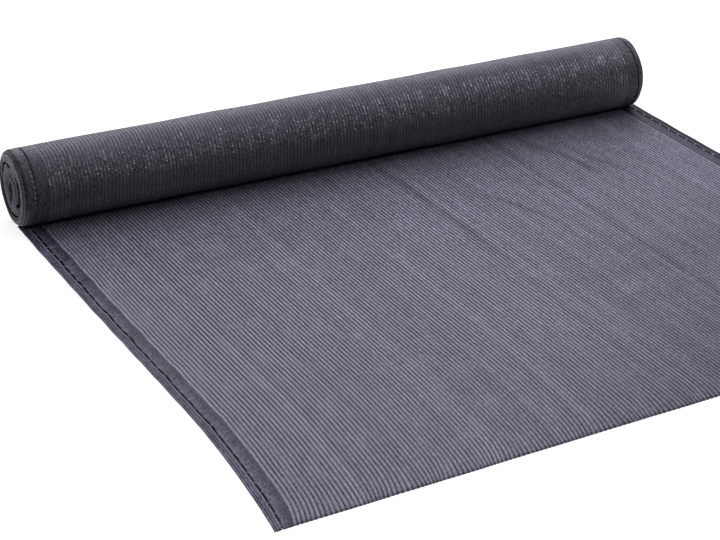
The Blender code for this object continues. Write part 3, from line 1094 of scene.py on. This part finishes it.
# The gap between the wound bundles at an end: angle in degrees from the front, up at the front being
# positive, its radius and half width in pitches, and the share of its full depth
GAP_TABLE = (
    (-45, 7.4, 0.18, 0.0), (-65, 7.3, 0.18, 0.6), (-94, 7.2, 0.20, 0.8), (-130, 7.5, 0.22, 0.9),
    (-176, 7.5, 0.25, 1.0), (-204, 7.2, 0.25, 1.0), (-224, 7.2, 0.22, 0.8), (-238, 6.9, 0.18, 0.4),
    (-245, 6.7, 0.18, 0.0), (-254, 6.2, 0.18, 0.5), (-265, 5.9, 0.18, 0.4), (-274, 5.9, 0.18, 0.0),
    (-310, 6.0, 0.20, 0.0),
    (-330, 5.7, 0.44, 0.9), (-350, 5.5, 0.70, 1.0), (-375, 5.45, 0.78, 1.0), (-390, 5.3, 0.66, 0.9),
    (-400, 5.1, 0.40, 0.5), (-405, 5.0, 0.25, 0.0),
)
GAP_EASE = 12.0                             # degrees over which the gap's two ends meet
# Depths in pitches in an end face: of the gap, the pinched core and the line between two turns, how far
# the bundles beside the gap are rounded, and its unevenness
GAP_DEPTH = 3.0
CORE_DEPTH = 1.6
TURN_DEPTH = 0.35
BUNDLE_ROUND = 0.55
END_ROUGHNESS = 0.10
# Pinched core, in pitches from the roll's axis: place toward the back and up, half width and height
CORE_BACK = -0.8
CORE_UP = -0.3
CORE_HALF_WIDTH = 1.25
CORE_HALF_HEIGHT = 2.0
# Narrow slit below the core: place toward the back and up, lean, half width and half height
CORE_SLIT = (-2.4, -3.3, 0.35, 0.3, 0.8)
# Line between two turns nearer the core: radius, how far it moves out at the top, and half width
SECOND_TURN = (3.4, 0.4, 0.3)
# Rings of points of an end face: numbers of them over the core, up to the gap, across the gap and up to
# the rim, the radius of the first part, and the third part's half width in half widths of the gap
RING_COUNTS = (13, 6, 10, 4)
CORE_RINGS = 2.8
GAP_RINGS = 1.5


def gap_line(angle):
    """Radius, half width and depth share of the gap at angles in degrees, read along its table."""
    table = np.array(GAP_TABLE)[::-1]
    last, first = table[0, 0], table[-1, 0]
    wrapped = (angle - first) % 360.0 + last
    start = smooth_step(wrapped, first - GAP_EASE, first)
    radius = np.interp(wrapped, table[:, 0], table[:, 1]) + start * (table[0, 1] - table[-1, 1])
    half = np.interp(wrapped, table[:, 0], table[:, 2])
    return radius, half, np.interp(wrapped, table[:, 0], table[:, 3])


def end_rings(angle):
    """Radii in pitches of the rings of an end face, crowded round the gap at each angle."""
    gap, half, _ = gap_line(angle)
    stops = (0.0, CORE_RINGS, gap - GAP_RINGS * half, gap + GAP_RINGS * half, RADIUS - RIM)
    rings = [np.zeros(len(angle))]
    for start, stop, count in zip(stops, stops[1:], RING_COUNTS):
        for step in range(1, count + 1):
            rings.append(np.broadcast_to(start + (stop - start) * step / count, len(angle)))
    return np.stack(rings[:-1], -1)


def core_forms(radius, angle):
    """The pinched core of an end: bells over a lens and over the narrow slit below it, 0 to 1."""
    y = radius * np.cos(np.radians(angle))[:, None]
    z = radius * np.sin(np.radians(angle))[:, None]
    lens = ((y - CORE_BACK) / CORE_HALF_WIDTH) ** 2 + ((z - CORE_UP) / CORE_HALF_HEIGHT) ** 2
    back, up, lean, half_width, half_height = CORE_SLIT
    return np.exp(-lens ** 1.5), bell(y + lean * z, back, half_width) * bell(z, up, half_height)


def second_turn(radius, angle):
    """A bell over the line between two turns nearer the core, 0 to 1."""
    middle, rise, half = SECOND_TURN
    return bell(radius, middle + rise * np.sin(np.radians(angle))[:, None], half)


def end_depth(radius, angle):
    """How far an end face lies inside the roll's end, in pitches.

    The spiral gap is a flat-bottomed trench across its line, the bundles of turns on both of its
    sides are rounded, and the pinched core is a lens-shaped dish with a slit below it.
    """
    gap, half, share = (value[:, None] for value in gap_line(angle))
    deep = GAP_DEPTH * share * np.exp(-(np.abs(radius - gap) / half) ** 5)
    outer = np.clip((radius - gap) / (RADIUS - gap), 0, 1)
    inner = np.clip((gap - radius) / (gap - 2.0), 0, 1)
    puff = np.where(radius > gap, np.exp(-outer / 0.25), np.exp(-inner / 0.2))
    lens, slit = core_forms(radius, angle)
    turn = np.radians(angle)[:, None]
    rough = soft_noise(5, radius * np.cos(turn), radius * np.sin(turn), 2.2) * smooth_step(radius, 0.0, 2.0)
    forms = BUNDLE_ROUND * share * puff + CORE_DEPTH * lens + slit + TURN_DEPTH * second_turn(radius, angle)
    return deep + forms + END_ROUGHNESS * rough


# Painted light and shade of the roll: over an end face, at heights in pitches from the axis, and round
# the ribs and over the left selvedge, at angles in degrees from the front
FACE_TONES = ((-8, 0.70), (-5, 0.76), (-2, 0.75), (0.5, 0.82), (3.2, 0.84), (5.5, 1.0), (7.3, 1.5))
ROLL_TONES = (
    (-180, 1.0), (-60, 1.0), (-40, 1.18), (-22, 1.10), (-8, 0.86), (12, 0.76), (30, 0.79), (50, 0.91),
    (72, 1.0), (90, 1.12), (120, 1.13), (160, 1.0), (180, 1.0),
)
LEFT_TONES = (
    (-60, 1.0), (-30, 0.93), (-8, 0.78), (12, 0.77), (30, 0.80), (48, 0.93), (70, 1.0), (92, 1.2),
    (120, 1.2), (150, 1.0),
)
# How dark the painted shade is in the gap, the core, its slit and the line between two turns of an end
# face
GAP_DARK = 0.85
CORE_DARK = 0.65
SLIT_DARK = 0.8
TURN_DARK = 0.3
LAP_INSET = 1.0                             # from the roll's end to the last turn's edge, in pitches
LAP_STEP = 0.32                             # height of that edge over the turn under it, in pitches
LAP_GROOVE = 0.25                           # depth of the groove along it
LAP_DARK = 0.75                             # how dark the painted shade along it is
# Painted shade in a rolled selvedge's seam: how dark it is, how much less of that low at the front, and
# its half width
SEAM_DARK = 0.75
SEAM_FADE = 0.45
SEAM_HALF = 0.17
SEAM_DEPTH = (0.22, 0.33)                   # depth between its slits, and what its open slits add to it
LEFT_LOW = 0.30                             # painted shade: how much darker the ribs are low at the front's left end
RIGHT_LIFT = 0.28                           # painted light: how much lighter the right end is above its front


def read_tones(table, place):
    """Tones at places, along the straight lines between a table's rows."""
    return np.interp(place, *np.transpose(table))


def end_shade(radius, angle):
    """Painted light and shade of an end face: lighter up, dark in its gap, core and slit, a little between
    two turns.
    """
    gap, half, share = (value[:, None] for value in gap_line(angle))
    lens, slit = core_forms(radius, angle)
    trench = smooth_step(share, 0.1, 0.6) * np.exp(-(np.abs(radius - gap) / (1.25 * half)) ** 8)
    tone = read_tones(FACE_TONES, radius * np.sin(np.radians(angle))[:, None])
    tone = tone * (1 - GAP_DARK * trench) * (1 - CORE_DARK * lens) * (1 - SLIT_DARK * slit)
    return tone * (1 - TURN_DARK * second_turn(radius, angle))


def seam_shade(inset, strip, turn):
    """Painted light and shade of a rolled selvedge: darker at the front and lighter on top, in its seam and
    along the last turn's edge.
    """
    seam = (SEAM_DARK - SEAM_FADE * bell(turn, -20.0, 60.0)) * bell(inset, strip, SEAM_HALF)
    lapped = smooth_step(turn, -28.0, -8.0) * smooth_fall(turn, 30.0, 58.0)
    lap = LAP_DARK * lapped * bell(inset, LAP_INSET, 0.10)
    front = 0.72 + 0.26 * smooth_step(turn, -5.0, 50.0) + 0.16 * smooth_step(turn, 70.0, 95.0)
    return (1 - seam) * (1 - lap) * np.where(turn < 150.0, front, 1.0)


def right_lift(turn):
    """Painted light: how much lighter the roll's right end is at an angle, a bell above its front."""
    return RIGHT_LIFT * bell(turn, 60.0, 24.0)


def ribs_tone(rib, turn):
    """Painted light and shade of the rolled ribs: its table round the roll, darker low at the left, lighter
    at the right.
    """
    left = smooth_fall(rib, 2.0, 26.0) * bell(turn, -8.0, 38.0)
    right = smooth_step(rib, 158.0, 170.0) * right_lift(turn)
    return read_tones(ROLL_TONES, turn) * (1 - LEFT_LOW * left) * (1 + right)


# Columns of points of a rolled selvedge: insets of those over the rim, and places of those beside the seam
RIM_INSETS = (0.0, 0.05, 0.16, 0.32, 0.52, 0.72, 0.86, 0.95, 1.02, 1.08, 1.25, RIM)
SEAM_COLUMNS = (-0.28, -0.16, -0.08, 0.0, 0.08, 0.16, 0.28)


def strip_columns(strip):
    """Insets in pitches of the columns from the roll's end to its ribs: rim, strip, slits, band."""
    outer = np.linspace(RIM, strip - 0.42, 7)[1:]
    band = np.linspace(strip + 0.45, strip + BAND, 12)
    return np.concatenate([RIM_INSETS, outer, strip + np.array(SEAM_COLUMNS), band])


def strip_radius(inset, strip, turn):
    """Radius in pitches over a rolled selvedge: rim arc, the last turn's lap, slit row and band."""
    rise = np.sqrt(np.clip(1 - (1 - np.clip(inset / RIM, 0, 1)) ** 2, 0, 1))
    lap = smooth_step(turn, -55.0, -25.0) * smooth_fall(turn, 45.0, 80.0)
    step = LAP_STEP * smooth_fall(inset, LAP_INSET - 0.04, LAP_INSET + 0.05)
    groove = LAP_GROOVE * bell(inset, LAP_INSET - 0.05, 0.08)
    slits = np.radians(turn) * RADIUS / SLIT_PITCH
    open_part = smooth_step(np.abs(slits % 1.0 - 0.5), 0.14, 0.20)
    seam = (SEAM_DEPTH[0] + SEAM_DEPTH[1] * open_part) * bell(inset, strip, 0.13)
    return RADIUS - RIM * (1 - rise) - lap * (step + groove) - seam


def along_roll(left_end, left, ribs, right, right_end):
    """Columns of the whole roll, left to right, from its five parts; the right two start at the end."""
    parts = (left_end, left, ribs, right[..., ::-1], right_end[:, ::-1])
    return np.concatenate([np.broadcast_to(part, (len(left_end), part.shape[-1])) for part in parts], axis=1)


RIB_SWAY = 0.16                             # sway of the rolled ribs along the roll, in pitches
ROLLED_RIB_SHARE = 0.3                      # share of the laid ribs' height that rolled ones have
ROLL_UNEVENNESS = 0.10                      # of its radius, in pitches
ROLL_BASE = 0.02                            # least height of the roll's points, in pitches
TURN_DRIFT = 0.4                            # how far the end faces' pattern spirals in with each turn


def roll_form(left, right, rib, rings, angle, sizes):
    """Places along the roll and radii of its points, in pitches.

    The ribs sway a little along the roll, a share of their laid height stands out, and a soft noise
    makes the whole roll uneven.
    """
    turn = angle[:, None]
    depth = end_depth(rings, angle)
    start = ROLL_LEFT + left[-1]
    ribs_x = start + rib / RIB_COUNT * (ROLL_RIGHT - right[-1] - start)
    sway = RIB_SWAY * soft_noise(21, turn / 60.0, ribs_x[None, :] / 30.0, 1.0)
    ribs_r = RADIUS + ROLLED_RIB_SHARE * sizes.rib_height / PITCH * (rib_profile(rib) - 1)
    x = along_roll(ROLL_LEFT + depth, ROLL_LEFT + left, ribs_x + sway, ROLL_RIGHT - right, ROLL_RIGHT - depth)
    radius = along_roll(rings, strip_radius(left, STRIP_LEFT, turn), ribs_r,
                        strip_radius(right, STRIP_RIGHT, turn), rings)
    lump = soft_noise(31, turn / 50.0, x / 25.0, 1.0) * smooth_step(radius, 3.0, 9.0)
    return x, radius + ROLL_UNEVENNESS * lump


def roll_finishes(ring_count, strip_count, columns):
    """Number of the finish of each column of faces: 0 on the ribs, 1 on the selvedges, 2 on the ends."""
    finish = np.zeros(columns - 1, dtype=int)
    finish[:ring_count + strip_count] = 1
    finish[-ring_count - strip_count:] = 1
    finish[:ring_count] = 2
    finish[-ring_count:] = 2
    return finish


class NET_OT_wound_roll(bpy.types.Operator):
    """Winds the roll: ribs round it, curled selvedges at its ends and the gap between its turns"""
    bl_idname = "net.wound_roll"
    bl_label = "Wound roll"

    def execute(self, context):
        sizes = context.scene.net_sizes
        angle = np.linspace(-180.0, 180.0, sizes.sides, endpoint=False)
        turn = angle[:, None]
        left = strip_columns(STRIP_LEFT)
        right = strip_columns(STRIP_RIGHT)
        rib = field_columns()[1:-1]
        rings = end_rings(angle)
        x, radius = roll_form(left, right, rib, rings, angle, sizes)
        y = ROLL_AXIS_Y / PITCH - radius * np.cos(np.radians(turn))
        z = np.maximum(AXIS + radius * np.sin(np.radians(turn)), ROLL_BASE)
        points = np.stack([x, y, z], -1) * PITCH
        inward = RADIUS - RIM - rings + TURN_DRIFT * turn / 360.0
        across = along_roll(-left[-1] - inward, left - left[-1], rib, RIB_COUNT + right[-1] - right,
                            RIB_COUNT + right[-1] + inward)
        uv = np.stack(np.broadcast_arrays(across, np.radians(turn) * RADIUS), -1)
        # Painted light and shade over the roll, kept in its shade attribute
        face_tone = end_shade(rings, angle)
        left_tone = seam_shade(left, STRIP_LEFT, turn) * read_tones(LEFT_TONES, turn)
        right_tone = seam_shade(right, STRIP_RIGHT, turn) * (1 + right_lift(turn))
        shade = along_roll(face_tone, left_tone, ribs_tone(rib, turn), right_tone, face_tone)
        faces = grid_faces(len(angle), x.shape[1], wrap=True)
        finish = roll_finishes(rings.shape[1], len(left), x.shape[1])
        materials = net_materials()
        piece = mesh_piece("wound_net", points.reshape(-1, 3), faces, uv.reshape(-1, 2),
                           [materials["rolled_ribs"], materials["rolled_selvedge"], materials["wound_turns"]],
                           np.tile(finish, len(angle)), shade)
        close_poles(piece)
        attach(piece, BODY)
        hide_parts("wound_roll")
        return {"FINISHED"}


# Photo's camera: its lens in millimetres, its place from the middle of the cloth, from the roll's axis
# and over the floor, and its turns in degrees
CAMERA_LENS = 107.9
CAMERA_ACROSS = -1.3189
CAMERA_BACK = 2.5910
CAMERA_HEIGHT = 1.2094
CAMERA_YAW = 27.495
CAMERA_DOWN = 25.523
# Soft lights round the net: name, bearing from behind toward the right and height over the floor in
# degrees, distance, width and height in metres, and power in watts
LIGHTS = (
    ("back", 22, 42, 3.0, 2.8, 2.2, 47.5),
    ("back_high", 0, 64, 3.0, 1.2, 1.2, 14.0),
    ("back_low", 20, 18, 3.2, 2.4, 0.7, 14.5),
    ("over", 20, 74, 2.8, 1.4, 1.4, 2.5),
    ("left_high", 270, 55, 3.0, 1.2, 1.2, 7.0),
    ("right", 90, 55, 3.0, 1.2, 1.2, 15.0),
    ("front_right", 135, 42, 3.0, 1.2, 1.2, 7.0),
    ("front_left", 225, 42, 3.0, 1.2, 1.2, 7.0),
)
# Lights that show only in reflections, above all in the smooth stitches: place, target, width, height,
# power and lean
GLINTS = (
    ((0.92, -0.74, 1.40), (0.08, 0.36, 0.08), 3.2, 0.60, 5.5, 17.5),
    ((-0.05, -1.30, 0.86), (-0.38, 0.36, 0.06), 0.9, 0.7, 3.6, 10.0),
)
GLINT_TINT = (0.85, 0.94, 1.0)
BACK_TINT = (0.93, 0.94, 1.0)
ROOM_LIGHT = 0.01
ROOM_COLOUR = (0.98, 0.99, 1.0, 1.0)
# Pale floor, most of whose tone is its own glow, and under the net a darker sheet without a glow, the
# painted shade seen through its slits
FLOOR_HALF = 12.0
FLOOR_COLOUR = (0.59, 0.59, 0.60, 1.0)
FLOOR_GLOW = 0.78
PAINTED_SHADE_COLOUR = (0.28, 0.28, 0.32, 1.0)
PAINTED_SHADE_INSIDE = 0.004
PAINTED_SHADE_HEIGHT = 0.00003
PAINTED_SHADE_ROWS = 60


def dome_place(bearing, height, distance):
    """Place on a dome round the origin: a bearing and a height in degrees, made a vector."""
    turn = math.radians(bearing)
    rise = math.radians(height)
    flat = distance * math.cos(rise)
    return (flat * math.sin(turn), flat * math.cos(turn), distance * math.sin(rise))


def aimed(place, target):
    """Rotation that points an object's -Z from its place at a target, with its X level."""
    return (Vector(target) - Vector(place)).to_track_quat("-Z", "Y")


def soft_light(name, place, target, width, height, power, lean=0.0):
    """A rectangular area light, aimed at a point and leaning from level by an angle in degrees."""
    lamp = bpy.data.lights.new(name, "AREA")
    lamp.shape = "RECTANGLE"
    lamp.size = width
    lamp.size_y = height
    lamp.energy = power
    lamp_object = bpy.data.objects.new(name, lamp)
    lamp_object.location = place
    lamp_object.rotation_mode = "QUATERNION"
    turn = Quaternion((0.0, 0.0, 1.0), math.radians(lean))
    lamp_object.rotation_quaternion = aimed(place, target) @ turn
    bpy.context.scene.collection.objects.link(lamp_object)
    return lamp_object


def pale_floor():
    """The wide floor: a pale, rough square that also glows."""
    half = FLOOR_HALF
    corners = [(-half, -half, 0.0), (half, -half, 0.0), (half, half, 0.0), (-half, half, 0.0)]
    mesh = bpy.data.meshes.new("floor")
    mesh.from_pydata(corners, [], [(0, 1, 2, 3)])
    pale = bpy.data.materials.new("pale_floor")
    pale.use_nodes = True
    shader = pale.node_tree.nodes["Principled BSDF"]
    shader.inputs["Base Color"].default_value = FLOOR_COLOUR
    shader.inputs["Roughness"].default_value = 0.9
    shader.inputs["Specular IOR Level"].default_value = 0.1
    shader.inputs["Emission Color"].default_value = (1.0, 1.0, 1.0, 1.0)
    shader.inputs["Emission Strength"].default_value = FLOOR_GLOW
    mesh.materials.append(pale)
    floor = bpy.data.objects.new("floor", mesh)
    bpy.context.scene.collection.objects.link(floor)
    return floor


def underlay():
    """Painted shade under the net: a darker floor sheet without a glow, which ends a little inside the net's
    outline.
    """
    half = NET_WIDTH / 2 - PAINTED_SHADE_INSIDE
    across = np.array([-half, half])
    share = np.linspace(0, 1, PAINTED_SHADE_ROWS)[:, None]
    along = LAID_START + share * (laid_length(across) - PAINTED_SHADE_INSIDE - LAID_START)
    x = across + drift(across, along) + wander(across, along)
    points = np.stack(np.broadcast_arrays(x + MIDDLE_X, ROLL_AXIS_Y - along, PAINTED_SHADE_HEIGHT), -1)
    shaded = bpy.data.materials.new("shaded_floor")
    shaded.use_nodes = True
    shaded.node_tree.nodes["Principled BSDF"].inputs["Base Color"].default_value = PAINTED_SHADE_COLOUR
    return mesh_piece("underlay", points.reshape(-1, 3), grid_faces(PAINTED_SHADE_ROWS, 2)[:, ::-1],
                      np.zeros((2 * PAINTED_SHADE_ROWS, 2)), [shaded])


def studio_lights():
    """The soft lights round the net, and the lights for the glints, which show only in reflections."""
    for name, bearing, rise, distance, width, height, power in LIGHTS:
        place = dome_place(bearing, rise, distance)
        lamp = soft_light(name, place, (0.0, 0.0, 0.0), width, height, power)
        if name.startswith("back"):
            lamp.data.color = BACK_TINT
    for values in GLINTS:
        glint = soft_light("glint", *values)
        glint.visible_diffuse = False
        glint.data.color = GLINT_TINT


def soft_room():
    """The faint light of the room from all sides."""
    world = bpy.data.worlds.new("soft_room")
    world.use_nodes = True
    background = world.node_tree.nodes["Background"]
    background.inputs["Color"].default_value = ROOM_COLOUR
    background.inputs["Strength"].default_value = ROOM_LIGHT
    return world


def photo_camera():
    """The camera at the photo's place, turned down and to the right by its two angles."""
    lens = bpy.data.cameras.new("camera")
    lens.lens = CAMERA_LENS
    lens.sensor_width = 36.0
    lens.clip_start = 0.05
    lens.clip_end = 60.0
    camera = bpy.data.objects.new("camera", lens)
    camera.location = (MIDDLE_X + CAMERA_ACROSS, ROLL_AXIS_Y - CAMERA_BACK, CAMERA_HEIGHT)
    camera.rotation_euler = (math.radians(90 - CAMERA_DOWN), 0.0, math.radians(-CAMERA_YAW))
    bpy.context.scene.collection.objects.link(camera)
    return camera


class NET_OT_studio(bpy.types.Operator):
    """Sets up the pale floor, the soft lights and the camera"""
    bl_idname = "net.studio"
    bl_label = "Studio"

    def execute(self, context):
        scene = context.scene
        floor = pale_floor()
        underlay()
        studio_lights()
        scene.world = soft_room()
        scene.view_settings.view_transform = "Standard"
        scene.camera = photo_camera()
        return {"FINISHED"}


OPERATORS = (NET_OT_laid_ribs, NET_OT_selvedges, NET_OT_chain_threads, NET_OT_wound_roll, NET_OT_studio)


class NET_PT_pieces(bpy.types.Panel):
    """Lists the net's sizes, colours and pieces"""
    bl_idname = "NET_PT_pieces"
    bl_label = "Shade net"
    bl_space_type = "VIEW_3D"
    bl_region_type = "UI"
    bl_category = "Shade net"

    def draw(self, context):
        for group in (context.scene.net_sizes, context.scene.net_colours):
            for name in group.__annotations__:
                self.layout.prop(group, name)
        for operator in OPERATORS:
            self.layout.operator(operator.bl_idname)


CLASSES = (NetSizes, NetColours, *OPERATORS, NET_PT_pieces)


def register():
    """Registers the classes and puts the two groups on the scene."""
    for item in CLASSES:
        bpy.utils.register_class(item)
    bpy.types.Scene.net_sizes = PointerProperty(type=NetSizes)
    bpy.types.Scene.net_colours = PointerProperty(type=NetColours)


def unregister():
    """Undoes register."""
    del bpy.types.Scene.net_colours
    del bpy.types.Scene.net_sizes
    for item in reversed(CLASSES):
        bpy.utils.unregister_class(item)


def main():
    """Makes every piece in order."""
    register()
    bpy.ops.net.laid_ribs()
    bpy.ops.net.selvedges()
    bpy.ops.net.chain_threads()
    bpy.ops.net.wound_roll()
    bpy.ops.net.studio()


if __name__ == "__main__":
    main()
